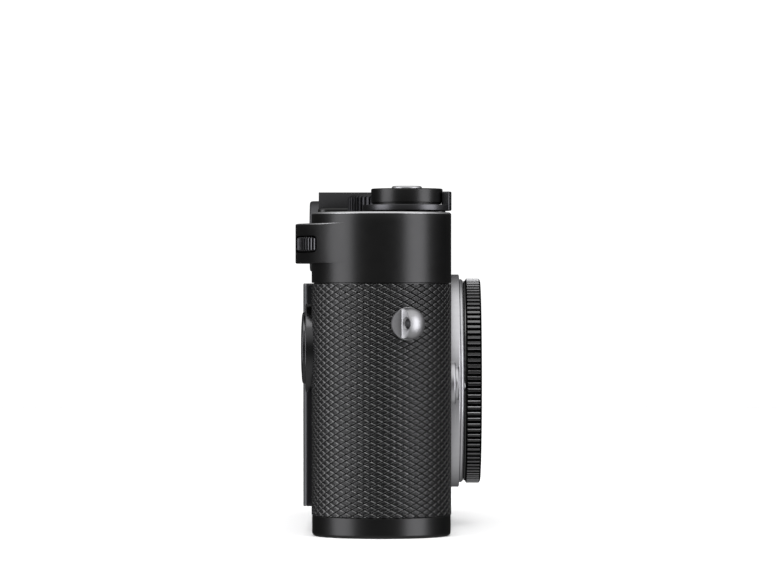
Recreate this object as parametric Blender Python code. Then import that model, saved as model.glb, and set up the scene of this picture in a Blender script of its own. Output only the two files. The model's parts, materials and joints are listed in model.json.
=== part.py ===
"""Digital rangefinder camera with a body cap, modelled as separate pieces.

Sizes are in millimetres, and MM turns them into metres when a mesh is made.
X runs along the body with the shutter release at -X, the lens faces -Y and Z is up.
The origin is under the middle of the whole camera. Depths are measured from the
body's own mid-plane, which lies MID_Y behind the origin.
"""
import math

import bmesh
import bpy
from mathutils import Matrix, Vector

MM = 0.001
MID_Y = 1.925                # body mid-plane behind the origin
GAP = 0.3                    # clearance kept between neighbouring pieces
WELD = 0.0005                # points closer than this are one point

# Body: a bar with half-round ends
BODY_LENGTH = 139.0
BODY_DEPTH = 32.1
HALF_DEPTH = BODY_DEPTH / 2
END_X = BODY_LENGTH / 2 - HALF_DEPTH      # centre of each round end
END_STEPS = 14                            # straight sides in each round end

# Heights of the three bands
BASE_HIGH = 4.8
SKIN_LOW = 5.0
SKIN_HIGH = 57.75
TOP_LOW = 58.05
LOW_DECK = 74.2
HIGH_DECK = 75.95
STEP_X = -15.0               # the deck is higher on the viewfinder side of this
SKIN_THICK = 0.6
CASTING_INSET = 0.75
CASTING_WALL = 1.6
CASTING_FLOOR = 6.2
PLATE_WALL = 1.3

# Lens mount
LENS_Z = 34.5
MOUNT_RADIUS = 25.55
MOUNT_FRONT = 18.6
FLANGE_RADIUS = 24.55
FLANGE_FRONT = 19.6
MOUNT_BORE = 21.2
RELEASE_X = -32.0
PIN_X = -23.0
PIN_Z = 33.8
LEVER_X = 33.5
LEVER_Z = 48.5
CAP_RADIUS = 24.7
CAP_FRONT = 23.75

# Top controls (x, depth)
TOWER = (-50.5, -5.85)
DIAL = (-27.5, -2.35)
ISO = (57.0, -2.0)
WHEEL = (-53.4, 11.4)
EYEPIECE_X = 52.0
EYEPIECE_Z = 70.0

# Thumb-wheel housing on the rear of the top plate
BUMP_LOW = 62.5
BUMP_HIGH = 71.65
BUMP_BACK = 19.9
BUMP_TANGENT = math.radians(31.0)         # where it leaves the round end

# Rear panel and direction pad
PANEL_LOW_X = -36.0
PANEL_HIGH_X = 48.0
PANEL_LOW = 5.8
PANEL_HIGH = 57.95
PANEL_BACK = 18.3
SCREEN_HIGH_X = 34.0
BUTTON_X = 41.0
BUTTON_HEIGHTS = (48.0, 32.0, 16.0)
PAD = (-47.0, 43.0)                       # x, z

# Base lock and tripod socket
LOCK_X = -50.0
BAIL_Z = 0.95
HINGE_X = BODY_LENGTH / 2                 # the base plate swings down about this end

# Shutter
GATE_WIDTH = 37.0
GATE_HEIGHT = 25.0
BLADE_HEIGHT = 9.2
BLADE_COUNT = 3

# Strap lugs sit on the round ends, turned towards the front
LUG_ANGLE = math.radians(22.8)
LUG_Z = 48.5

# Finishes: colour, roughness, metallic
FINISHES = {
    "black_paint": ((0.020, 0.020, 0.021), 0.42, 0.0),
    "matt_black": ((0.016, 0.016, 0.017), 0.62, 0.0),
    "leather": ((0.018, 0.018, 0.019), 0.55, 0.0),
    "black_metal": ((0.030, 0.030, 0.032), 0.35, 0.8),
    "silver": ((0.72, 0.72, 0.74), 0.28, 1.0),
    "steel": ((0.56, 0.56, 0.58), 0.32, 1.0),
    "casting": ((0.22, 0.22, 0.23), 0.55, 0.9),
    "black_plastic": ((0.025, 0.025, 0.026), 0.5, 0.0),
    "glass": ((0.05, 0.055, 0.065), 0.05, 0.0),
    "screen": ((0.012, 0.013, 0.016), 0.12, 0.0),
    "board": ((0.02, 0.14, 0.07), 0.5, 0.0),
    "sensor": ((0.05, 0.08, 0.10), 0.1, 0.2),
    "gold": ((0.83, 0.60, 0.24), 0.25, 1.0),
    "label_grey": ((0.35, 0.36, 0.38), 0.5, 0.0),
}


# ---------------------------------------------------------------- shape helpers

def arc(radius, start, end, steps, centre=(0.0, 0.0)):
    """Points on an arc, both ends included; angles in radians."""
    points = []
    for i in range(steps + 1):
        angle = start + (end - start) * i / steps
        points.append((centre[0] + radius * math.cos(angle),
                       centre[1] + radius * math.sin(angle)))
    return points


def stadium(inset):
    """The body's plan, moved inwards by inset."""
    radius = HALF_DEPTH - inset
    right = arc(radius, -math.pi / 2, math.pi / 2, END_STEPS, (END_X, 0.0))
    left = arc(radius, math.pi / 2, math.pi * 1.5, END_STEPS, (-END_X, 0.0))
    return right + left


def bridge(shape, lower, upper):
    """Faces between two rings of points; a ring may be a single point."""
    count = max(len(lower), len(upper))
    for i in range(count):
        j = (i + 1) % count
        corners = [lower[i % len(lower)], lower[j % len(lower)],
                   upper[j % len(upper)], upper[i % len(upper)]]
        shape.faces.new(list(dict.fromkeys(corners)))


def stack(levels):
    """Solid through plan outlines (outline, height), closed by the first and last."""
    shape = bmesh.new()
    rings = []
    for outline, height in levels:
        rings.append([shape.verts.new((x, y, height)) for x, y in outline])
    for lower, upper in zip(rings, rings[1:]):
        bridge(shape, lower, upper)
    shape.faces.new(rings[0])
    shape.faces.new(rings[-1])
    return tidy(shape)


def prism(outline, low, high):
    return stack([(outline, low), (outline, high)])


def block(low, high):
    """Box between two corners."""
    outline = [(low[0], low[1]), (high[0], low[1]), (high[0], high[1]), (low[0], high[1])]
    return prism(outline, low[2], high[2])


def turned(profile, steps=32):
    """Solid of revolution about Z through (radius, height) points."""
    shape = bmesh.new()
    rings = []
    for radius, height in profile:
        if radius == 0.0:
            rings.append([shape.verts.new((0.0, 0.0, height))])
            continue
        ring = arc(radius, 0.0, 2 * math.pi, steps)[:-1]
        rings.append([shape.verts.new((x, y, height)) for x, y in ring])
    for lower, upper in zip(rings, rings[1:]):
        bridge(shape, lower, upper)
    if profile[0][0] > 0.0:
        bridge(shape, rings[-1], rings[0])
    return tidy(shape)


def disc(radius, low, high, steps=32):
    return prism(arc(radius, 0.0, 2 * math.pi, steps)[:-1], low, high)


def tidy(shape):
    bmesh.ops.remove_doubles(shape, verts=shape.verts, dist=WELD)
    bmesh.ops.recalc_face_normals(shape, faces=shape.faces)
    return shape


def moved(shape, x=0.0, y=0.0, z=0.0):
    bmesh.ops.translate(shape, verts=shape.verts, vec=Vector((x, y, z)))
    return shape


def turned_over(shape, matrix):
    bmesh.ops.transform(shape, verts=shape.verts, matrix=matrix)
    return tidy(shape)


def forward(shape):
    """Turns local +Z to the front, -Y, and keeps local +Y up."""
    return turned_over(shape, Matrix.Rotation(math.pi / 2, 4, "X"))


def backward(shape):
    """Turns local +Z to the rear, +Y."""
    return turned_over(shape, Matrix.Rotation(-math.pi / 2, 4, "X"))


def sideways(shape):
    """Turns local +Z to +X."""
    return turned_over(shape, Matrix.Rotation(math.pi / 2, 4, "Y"))


def boolean(shape, tool, operation):
    """Exact Boolean of two solids; both inputs are used up."""
    pair = []
    for label, source in (("shape", shape), ("tool", tool)):
        mesh = bpy.data.meshes.new(label)
        source.to_mesh(mesh)
        source.free()
        item = bpy.data.objects.new(label, mesh)
        bpy.context.scene.collection.objects.link(item)
        pair.append(item)
    modifier = pair[0].modifiers.new("boolean", "BOOLEAN")
    modifier.operation = operation
    modifier.solver = "EXACT"
    modifier.object = pair[1]
    result = bmesh.new()
    result.from_object(pair[0], bpy.context.evaluated_depsgraph_get())
    for item in pair:
        mesh = item.data
        bpy.data.objects.remove(item)
        bpy.data.meshes.remove(mesh)
    return result


def cut(shape, *tools):
    for tool in tools:
        shape = boolean(shape, tool, "DIFFERENCE")
    return shape


def fuse(shape, *tools):
    for tool in tools:
        shape = boolean(shape, tool, "UNION")
    return shape


def material_for(name, finish):
    colour, roughness, metallic = FINISHES[finish]
    material = bpy.data.materials.new(name + "_" + finish)
    material.use_nodes = True
    shader = material.node_tree.nodes["Principled BSDF"]
    shader.inputs["Base Color"].default_value = (*colour, 1.0)
    shader.inputs["Roughness"].default_value = roughness
    shader.inputs["Metallic"].default_value = metallic
    material.diffuse_color = (*colour, 1.0)
    return material


def make(name, shape, finish, centre=(0.0, 0.0, 0.0)):
    """Turns a solid into a named object; centre is (x, depth from the mid-plane, z)."""
    bmesh.ops.remove_doubles(shape, verts=shape.verts, dist=WELD)
    bmesh.ops.dissolve_degenerate(shape, edges=shape.edges, dist=WELD)
    bmesh.ops.scale(shape, verts=shape.verts, vec=Vector((MM, MM, MM)))
    mesh = bpy.data.meshes.new(name)
    shape.to_mesh(mesh)
    shape.free()
    mesh.shade_smooth()
    mesh.set_sharp_from_angle(angle=math.radians(30.0))
    mesh.materials.append(material_for(name, finish))
    item = bpy.data.objects.new(name, mesh)
    item.location = (centre[0] * MM, (centre[1] + MID_Y) * MM, centre[2] * MM)
    bpy.context.scene.collection.objects.link(item)
    return item


# ---------------------------------------------------------------- body

def casting():
    """Metal body: a cup open at the top, with the throat, rear window and floor holes."""
    inner = CASTING_INSET + CASTING_WALL
    shape = prism(stadium(CASTING_INSET), SKIN_LOW, SKIN_HIGH)
    shape = cut(shape, prism(stadium(inner), CASTING_FLOOR, SKIN_HIGH + 1.0))
    front_wall = (10.0, 17.0)
    shape = cut(
        shape,
        moved(forward(disc(MOUNT_BORE, *front_wall, 40)), z=LENS_Z),
        moved(forward(disc(1.3, *front_wall, 16)), x=PIN_X, z=PIN_Z),
        moved(forward(disc(1.9, *front_wall, 16)), x=RELEASE_X, z=LENS_Z),
        moved(forward(disc(1.7, *front_wall, 16)), x=LEVER_X, z=LEVER_Z),
        block((-32.0, 10.0, 9.0), (44.0, 17.0, 54.0)),
        block((27.7, -3.8, 4.0), (61.3, 6.8, 7.0)),
        block((-57.3, 8.1, 4.0), (-32.7, 10.9, 7.0)),
        moved(disc(5.3, 4.0, 7.0, 24)),
        moved(disc(6.2, 4.0, 7.0, 24), x=LOCK_X),
    )
    make("body_casting", shape, "casting")


def leather():
    """Covering of the front and both ends, open behind for the rear panel."""
    shape = prism(stadium(0.0), SKIN_LOW, SKIN_HIGH)
    shape = cut(shape, prism(stadium(SKIN_THICK), SKIN_LOW - 1.0, SKIN_HIGH + 1.0))
    front_wall = (10.0, 17.0)
    lug_holes = [lug_frame(disc(3.95, -3.0, 3.0, 24), side) for side in (-1, 1)]
    shape = cut(
        shape,
        moved(forward(disc(MOUNT_RADIUS + 0.25, *front_wall, 40)), z=LENS_Z),
        moved(forward(disc(5.3, *front_wall, 24)), x=RELEASE_X, z=LENS_Z),
        moved(forward(disc(1.7, *front_wall, 16)), x=LEVER_X, z=LEVER_Z),
        block((PANEL_LOW_X - 0.2, 10.0, 0.0), (PANEL_HIGH_X + 0.2, 17.0, 70.0)),
        moved(backward(disc(10.5, 10.0, 17.0, 32)), x=PAD[0], z=PAD[1]),
        *lug_holes,
    )
    make("leather_covering", shape, "leather")


def top_plate():
    """Top cover: two deck levels, the thumb-wheel housing, windows and control holes."""
    edge = 0.5
    shape = stack([(stadium(0.0), TOP_LOW), (stadium(0.0), LOW_DECK - edge),
                   (stadium(edge * 0.3), LOW_DECK - edge * 0.3), (stadium(edge), LOW_DECK)])
    high = stack([(stadium(0.8), LOW_DECK - 1.0), (stadium(0.8), HIGH_DECK - edge),
                  (stadium(0.8 + edge), HIGH_DECK)])
    high = cut(high, block((-80.0, -20.0, 70.0), (STEP_X, 20.0, 80.0)))
    shape = fuse(shape, high, prism(bump_outline(), BUMP_LOW, BUMP_HIGH))
    hollow = prism(stadium(PLATE_WALL), TOP_LOW - 1.0, LOW_DECK - PLATE_WALL)
    hollow = cut(hollow, moved(disc(10.0, TOP_LOW - 2.0, LOW_DECK, 32), x=WHEEL[0], y=WHEEL[1]))
    shape = cut(
        shape, hollow,
        moved(disc(8.6, 65.0, 68.8, 40), x=WHEEL[0], y=WHEEL[1]),
        moved(disc(1.35, 63.0, 71.0, 12), x=WHEEL[0], y=WHEEL[1]),
        moved(disc(1.5, 70.0, 78.0, 12), x=TOWER[0], y=TOWER[1]),
        moved(disc(2.2, 70.0, 78.0, 16), x=DIAL[0], y=DIAL[1]),
        moved(disc(2.2, 70.0, 78.0, 16), x=ISO[0], y=ISO[1]),
        block((-10.9, -4.3, 75.3), (10.9, 17.0, 78.0)),
        block((42.0, -17.0, 62.5), (54.0, -12.0, 71.5)),
        block((-20.5, -17.0, 64.5), (-13.5, -12.0, 70.0)),
        moved(forward(disc(2.2, 12.0, 17.0, 20)), x=2.0, z=68.0),
        moved(forward(disc(MOUNT_RADIUS + GAP, 15.1, 17.0, 44)), z=LENS_Z),
        moved(backward(disc(9.4, 11.7, 20.0, 36)), x=EYEPIECE_X, z=EYEPIECE_Z),
    )
    make("top_plate", shape, "black_paint")


def bump_outline():
    """Plan of the thumb-wheel housing: a wide arc that leaves the round end smoothly."""
    rise = BUMP_BACK - HALF_DEPTH * math.sin(BUMP_TANGENT)
    radius = rise / (1.0 - math.sin(BUMP_TANGENT))
    offset = radius - HALF_DEPTH
    centre = (-END_X + offset * math.cos(BUMP_TANGENT), -offset * math.sin(BUMP_TANGENT))
    start = math.pi - BUMP_TANGENT - math.radians(1.5)
    curve = arc(radius, math.pi / 2, start, 14, centre)
    sunk = HALF_DEPTH - 0.5
    anchor = (-END_X - sunk * math.cos(BUMP_TANGENT * 0.9), sunk * math.sin(BUMP_TANGENT * 0.9))
    return curve + [anchor, (-55.0, 3.0), (-37.0, 10.0), (-37.0, 15.6), (-41.5, BUMP_BACK)]


def base_plate():
    """Removable bottom cover, a shallow cup with two holes."""
    shape = stack([(stadium(1.0), 0.0), (stadium(0.3), 0.3), (stadium(0.0), 1.0),
                   (stadium(0.0), BASE_HIGH), (stadium(1.2), BASE_HIGH), (stadium(1.2), 1.3)])
    shape = cut(shape, disc(7.3, -1.0, 3.0, 32), moved(disc(7.3, -1.0, 3.0, 32), x=LOCK_X))
    hinge = (HINGE_X, -MID_Y, BASE_HIGH)
    make("base_plate", moved(shape, -hinge[0], -hinge[1], -hinge[2]), "black_paint", hinge)


def base_fittings():
    socket = turned([(0.0, 8.5), (3.2, 8.5), (3.2, 0.0), (7.0, 0.0), (7.0, 1.6),
                     (5.0, 1.6), (5.0, 9.5), (0.0, 9.5)], 28)
    make("tripod_socket", socket, "steel")
    hook = fuse(block((61.6, -3.0, 2.6), (63.0, 3.0, 4.8)), block((62.6, -3.0, 2.6), (65.4, 3.0, 3.3)))
    make("base_hook", hook, "steel")


def base_lock():
    """Round lock in the base plate with a fold-out key."""
    knob = turned([(0.0, 0.2), (7.0, 0.2), (7.0, 3.4), (3.0, 3.4), (3.0, 7.6), (0.0, 7.6)], 32)
    pocket = [(-1.0, -6.2)] + arc(6.3, -math.pi / 2 + 0.05, math.pi / 2 - 0.05, 14) + [(-1.0, 6.2)]
    knob = cut(knob, prism(pocket, -1.0, 1.9))
    knob = fuse(knob, block((-5.2, -1.4, 6.5), (5.2, 1.4, 7.4)))
    make("lock_knob", knob, "black_metal", (LOCK_X, 0.0, 0.0))
    outer = arc(5.9, -math.pi / 2, math.pi / 2, 14)
    inner = arc(4.6, math.pi / 2, -math.pi / 2, 14)
    outline = [(-0.5, -5.9)] + outer + [(-0.5, 5.9), (-0.5, 4.6)] + inner + [(-0.5, -4.6)]
    bail = prism(outline, -0.5, 0.5)
    make("lock_key", bail, "steel", (LOCK_X, 0.0, BAIL_Z))


# ---------------------------------------------------------------- lens mount

def lens_mount():
    pin_hole = (PIN_X, PIN_Z - LENS_Z)
    ring = turned([(MOUNT_BORE, 15.4), (MOUNT_RADIUS, 15.4), (MOUNT_RADIUS, MOUNT_FRONT - 0.2),
                   (MOUNT_RADIUS - 0.2, MOUNT_FRONT), (MOUNT_BORE, MOUNT_FRONT)], 44)
    ring = cut(ring, moved(disc(1.3, 14.0, 20.0, 16), x=pin_hole[0], y=pin_hole[1]))
    make("mount_ring", forward(ring), "silver", (0.0, 0.0, LENS_Z))
    low = MOUNT_FRONT + 0.1
    flange = turned([(MOUNT_BORE, low), (FLANGE_RADIUS, low), (FLANGE_RADIUS, FLANGE_FRONT - 0.3),
                     (FLANGE_RADIUS - 0.3, FLANGE_FRONT), (MOUNT_BORE, FLANGE_FRONT)], 44)
    flange = cut(flange, moved(disc(1.3, 14.0, 20.0, 16), x=pin_hole[0], y=pin_hole[1]))
    make("bayonet_flange", forward(flange), "silver", (0.0, 0.0, LENS_Z))
    baffle = turned([(20.1, 6.0), (20.9, 6.0), (20.9, 18.2), (20.1, 18.2)], 40)
    baffle = cut(baffle, block((-4.6, 14.0, 4.0), (4.6, 24.0, 20.0)))
    make("throat_baffle", forward(baffle), "matt_black", (0.0, 0.0, LENS_Z))


def lens_release():
    """Guard ring, and the button that draws the lock pin back through one link."""
    guard = turned([(4.3, 15.4), (5.05, 15.4), (5.05, 17.2), (4.85, 17.4), (4.3, 17.4)], 28)
    make("release_guard", forward(guard), "silver", (RELEASE_X, 0.0, LENS_Z))
    button = turned([(0.0, 18.2), (3.7, 18.2), (4.0, 17.9), (4.0, 16.4), (1.5, 16.4),
                     (1.5, 12.4), (0.0, 12.4)], 28)
    reach = PIN_X - RELEASE_X
    link = block((-1.6, -1.5, 12.2), (reach + 1.0, 0.8, 13.2))
    pin = moved(disc(1.0, 12.7, 19.95, 20), x=reach, y=PIN_Z - LENS_Z)
    make("lens_release", forward(fuse(button, link, pin)), "silver", (RELEASE_X, 0.0, LENS_Z))


def body_cap():
    cap = turned([(0.0, CAP_FRONT), (CAP_RADIUS - 0.4, CAP_FRONT), (CAP_RADIUS, CAP_FRONT - 0.4),
                  (CAP_RADIUS, 20.6), (24.15, 20.6), (24.15, 19.75), (19.7, 19.75), (19.7, 16.6),
                  (18.4, 16.6), (18.4, 21.8), (0.0, 21.8)], 44)
    cap = cut(cap, moved(disc(1.3, 19.0, 20.25, 16), x=PIN_X, y=PIN_Z - LENS_Z))
    make("body_cap", forward(cap), "black_plastic", (0.0, 0.0, LENS_Z))


def frame_lever():
    """Lever that brings up other frame lines, hanging beside the mount."""
    tip = 15.0
    hub = arc(3.2, math.radians(-20), math.radians(200), 12)
    end = arc(1.9, math.radians(200), math.radians(340), 8, (0.0, -tip))
    lever = prism(hub + end, 16.25, 17.9)
    shaft = disc(1.3, 12.6, 17.0, 14)
    make("frame_lever", forward(fuse(lever, shaft)), "black_metal", (LEVER_X, 0.0, LEVER_Z))


# ---------------------------------------------------------------- inside

def shutter():
    """Shutter box with a gate, and blades that drop into its lower half."""
    box = block((-27.0, -5.6, 10.0), (27.0, -0.9, 56.0))
    room = block((-25.5, -4.45, 11.4), (25.5, -1.9, 54.5))
    half_gate = (GATE_WIDTH / 2, GATE_HEIGHT / 2)
    gate = block((-half_gate[0], -7.0, LENS_Z - half_gate[1]), (half_gate[0], 1.0, LENS_Z + half_gate[1]))
    make("shutter_box", cut(box, room, gate), "matt_black")
    top = LENS_Z + half_gate[1] + 0.5
    pitch = BLADE_HEIGHT - 0.7
    for i in range(BLADE_COUNT):
        depth = -4.1 + 0.7 * i
        high = top - pitch * i
        blade = block((-20.5, depth, high - BLADE_HEIGHT), (20.5, depth + 0.3, high))
        make("shutter_blade_" + str(i + 1), blade, "steel")


def electronics():
    make("image_sensor", block((-19.5, 0.0, 21.2), (19.5, 2.2, 47.8)), "sensor")
    make("sensor_plate", block((-26.0, 2.6, 13.0), (25.0, 3.9, 54.0)), "steel")
    make("main_board", block((-31.0, 7.0, 9.5), (25.0, 8.4, 54.0)), "board")
    make("battery", block((28.0, -3.5, 5.0), (61.0, 6.5, 50.0)), "label_grey")
    make("memory_card", block((-57.0, 8.4, 5.0), (-33.0, 10.5, 37.0)), "label_grey")
    motor = sideways(disc(4.6, -6.0, 6.0, 24))
    make("shutter_motor", motor, "steel", (-37.5, -4.0, 14.0))


def rangefinder():
    """Cam-follower arm with its roller, and the optical blocks in the top cover."""
    arm_top = (-9.0, 57.3)
    roller = (-13.0, 52.0)
    along = math.atan2(roller[1] - arm_top[1], roller[0] - arm_top[0])
    length = math.dist(arm_top, roller)
    outline = arc(1.7, math.pi / 2, math.pi * 1.5, 8)
    outline += arc(1.2, -math.pi / 2, math.pi / 2, 8, (length, 0.0))
    arm = prism(outline, -1.0, 1.0)
    arm = fuse(arm, moved(disc(0.8, 0.0, 4.4, 12), x=length))
    arm = turned_over(arm, Matrix.Rotation(along, 4, "Z"))
    to_side = Matrix(((0, 0, 1, 0), (1, 0, 0, 0), (0, 1, 0, 0), (0, 0, 0, 1)))
    make("rangefinder_arm", turned_over(arm, to_side), "steel", (0.0, *arm_top))
    wheel = turned([(1.1, -1.2), (2.6, -1.2), (2.6, 1.2), (1.1, 1.2)], 24)
    make("rangefinder_roller", sideways(wheel), "gold", (2.7, *roller))
    make("viewfinder_block", block((43.0, -13.2, 59.5), (58.0, 11.0, 69.4)), "glass")
    make("rangefinder_prism", block((-21.0, -13.8, 63.5), (-13.0, -6.0, 71.0)), "glass")


# ---------------------------------------------------------------- top controls

def release_controls():
    """Tower, power ring with its nub, and the shutter button."""
    tower = turned([(1.3, 74.35), (7.0, 74.35), (7.0, 76.2), (8.25, 76.2), (8.25, 79.45),
                    (7.95, 79.75), (3.75, 79.75), (3.75, 76.8), (1.3, 76.8)], 32)
    make("release_tower", tower, "black_paint", (*TOWER, 0.0))
    ring = turned([(7.3, 74.65), (10.2, 74.65), (10.2, 76.0), (7.3, 76.0)], 36)
    half = math.radians(20.0)
    sector = arc(10.3, -math.pi / 2 - half, -math.pi / 2 + half, 8)
    sector += arc(8.5, -math.pi / 2 + half, -math.pi / 2 - half, 8)
    ring = fuse(ring, prism(sector, 74.65, 79.05))
    make("power_switch", ring, "black_paint", (*TOWER, 0.0))
    button = turned([(0.0, 79.2), (0.9, 79.2), (0.9, 80.1), (3.0, 80.4), (3.5, 80.15),
                     (3.5, 78.4), (1.0, 78.4), (1.0, 71.0), (0.0, 71.0)], 20)
    make("shutter_button", button, "silver", (*TOWER, 0.0))


def dials():
    speed = turned([(0.0, 78.8), (9.7, 78.8), (10.3, 78.3), (10.3, 74.5), (1.9, 74.5),
                    (1.9, 68.0), (0.0, 68.0)], 36)
    make("speed_dial", speed, "black_metal", (*DIAL, 0.0))
    spindle = turned([(0.0, 69.9), (3.4, 69.9), (3.4, 70.7), (1.9, 70.7), (1.9, 76.3), (4.1, 76.3),
                      (4.1, 77.3), (1.9, 77.3), (1.9, 79.1), (0.0, 79.1)], 24)
    make("iso_spindle", spindle, "steel", (*ISO, 0.0))
    dial = turned([(0.0, 80.0), (7.9, 80.0), (8.2, 79.7), (8.2, 76.4), (4.4, 76.4), (4.4, 77.6),
                   (2.2, 77.6), (2.2, 79.4), (0.0, 79.4)], 28)
    make("iso_dial", dial, "black_metal", (*ISO, 0.0))
    wheel = turned([(1.4, 65.3), (7.6, 65.3), (7.9, 65.6), (7.9, 68.2), (7.6, 68.5), (1.4, 68.5)], 32)
    make("thumb_wheel", wheel, "black_metal", (*WHEEL, 0.0))
    make("thumb_wheel_axle", disc(1.1, 63.3, 70.7, 12), "steel", (*WHEEL, 0.0))


def accessory_shoe():
    """Shoe with two lips, a stop at the front and its centre contact."""
    half, inside, lip = 10.6, 9.4, 6.3
    floor, slot_top, top = 76.35, 78.7, 79.8
    section = [(-half, 75.45), (half, 75.45), (half, top), (lip, top), (lip, slot_top),
               (inside, slot_top), (inside, floor), (-inside, floor), (-inside, slot_top),
               (-lip, slot_top), (-lip, top), (-half, top)]
    shoe = forward(prism(section, -15.1, 4.0))
    shoe = fuse(shoe, block((-9.9, -3.9, 75.9), (9.9, -2.6, 79.2)))
    shoe = cut(shoe, moved(disc(1.6, 75.0, 77.0, 20), y=6.0))
    make("accessory_shoe", shoe, "matt_black")
    make("shoe_contact", disc(1.4, 75.6, 76.3, 20), "gold", (0.0, 6.0, 0.0))


def windows():
    """Front glasses and the eyepiece."""
    make("viewfinder_glass", block((42.15, -15.7, 62.65), (53.4, -14.9, 71.35)), "glass")
    make("rangefinder_glass", block((-20.35, -15.7, 64.65), (-13.65, -14.9, 69.85)), "glass")
    make("light_sensor_glass", forward(disc(2.05, 14.9, 15.7, 20)), "glass", (2.0, 0.0, 68.0))
    ring = turned([(6.2, 12.0), (9.1, 12.0), (8.95, 17.85), (8.6, 18.3), (6.2, 18.3)], 32)
    make("eyepiece_ring", backward(ring), "black_metal", (EYEPIECE_X, 0.0, EYEPIECE_Z))
    lens = disc(6.0, 14.6, 16.4, 32)
    make("eyepiece_lens", backward(lens), "glass", (EYEPIECE_X, 0.0, EYEPIECE_Z))


# ---------------------------------------------------------------- rear controls

def rear_panel():
    """Frame, screen, cover glass and the three buttons beside it."""
    low, high = (PANEL_LOW_X, 15.5, PANEL_LOW), (PANEL_HIGH_X, PANEL_BACK - 0.8, PANEL_HIGH)
    frame = cut(block(low, high), block((-31.0, 14.0, 9.0), (30.0, 20.0, 54.0)))
    for height in BUTTON_HEIGHTS:
        hole = block((-4.3, 14.0, -2.9), (4.3, 20.0, 2.9))
        frame = cut(frame, moved(hole, x=BUTTON_X, z=height))
    make("display_frame", frame, "black_metal")
    make("display_screen", block((-30.7, 15.8, 9.3), (29.7, 17.5, 53.7)), "screen")
    glass = block((PANEL_LOW_X, PANEL_BACK - 0.75, PANEL_LOW), (SCREEN_HIGH_X, PANEL_BACK, PANEL_HIGH))
    make("display_glass", glass, "screen")
    for label, height in zip(("top", "middle", "bottom"), BUTTON_HEIGHTS):
        button = block((-4.0, -0.7, -2.6), (4.0, 0.9, 2.6))
        make("rear_button_" + label, button, "black_plastic", (BUTTON_X, 17.3, height))


def direction_pad():
    """Bezel, a two-axis rocker on its pivot, and the centre button."""
    bezel = turned([(0.0, 15.4), (10.25, 15.4), (10.25, 17.25), (9.95, 17.55), (8.55, 17.55),
                    (8.55, 15.9), (0.0, 15.9)], 28)
    make("dpad_bezel", backward(bezel), "black_metal", (PAD[0], 0.0, PAD[1]))
    make("dpad_pivot", backward(disc(2.4, -0.35, 0.1, 16)), "steel", (PAD[0], 16.4, PAD[1]))
    rocker = turned([(3.4, 0.4), (8.25, 0.4), (8.25, 1.5), (7.75, 1.9), (3.4, 2.15)], 28)
    make("dpad_rocker", backward(rocker), "black_plastic", (PAD[0], 16.4, PAD[1]))
    button = turned([(0.0, 0.55), (3.1, 0.55), (3.1, 2.0), (2.8, 2.2), (0.0, 2.2)], 24)
    make("dpad_button", backward(button), "black_plastic", (PAD[0], 16.4, PAD[1]))


# ---------------------------------------------------------------- strap lugs

def lug_frame(shape, side):
    """Places a shape built along +Z on the round end: +Z outwards, +X to the front."""
    out = Vector((side * math.cos(LUG_ANGLE), -math.sin(LUG_ANGLE), 0.0))
    ahead = Vector((-side * math.sin(LUG_ANGLE), -math.cos(LUG_ANGLE), 0.0))
    across = out.cross(ahead)
    foot = Vector((side * END_X, 0.0, LUG_Z)) + out * HALF_DEPTH
    matrix = Matrix((ahead, across, out)).transposed().to_4x4()
    matrix.translation = foot
    return turned_over(shape, matrix)


def strap_lugs():
    """Domed stud with its rear half cut low and a hole for the strap ring."""
    for label, side in (("right", -1), ("left", 1)):
        lug = turned([(0.0, -0.6), (3.7, -0.6), (3.7, 1.5), (3.45, 2.6), (2.7, 3.5), (1.5, 4.0),
                      (0.0, 4.1)], 20)
        lug = cut(lug, block((-5.0, -5.0, 0.8), (-0.6, 5.0, 6.0)),
                  moved(sideways(disc(1.2, -6.0, 6.0, 16)), z=2.2))
        make("strap_lug_" + label, lug_frame(lug, side), "silver")


def build():
    for item in list(bpy.data.objects):
        bpy.data.objects.remove(item)
    casting()
    leather()
    top_plate()
    base_plate()
    base_fittings()
    base_lock()
    lens_mount()
    lens_release()
    body_cap()
    frame_lever()
    shutter()
    electronics()
    rangefinder()
    release_controls()
    dials()
    accessory_shoe()
    windows()
    rear_panel()
    direction_pad()
    strap_lugs()


build()
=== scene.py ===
"""Looks of the rangefinder camera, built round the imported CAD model.

Shapes are made in millimetres, with depths measured from the body's mid-plane
(negative to the front, as in the frame), and place() turns them into metres.
"""
import json
import math

import bmesh
import bpy
from mathutils import Matrix, Vector

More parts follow.
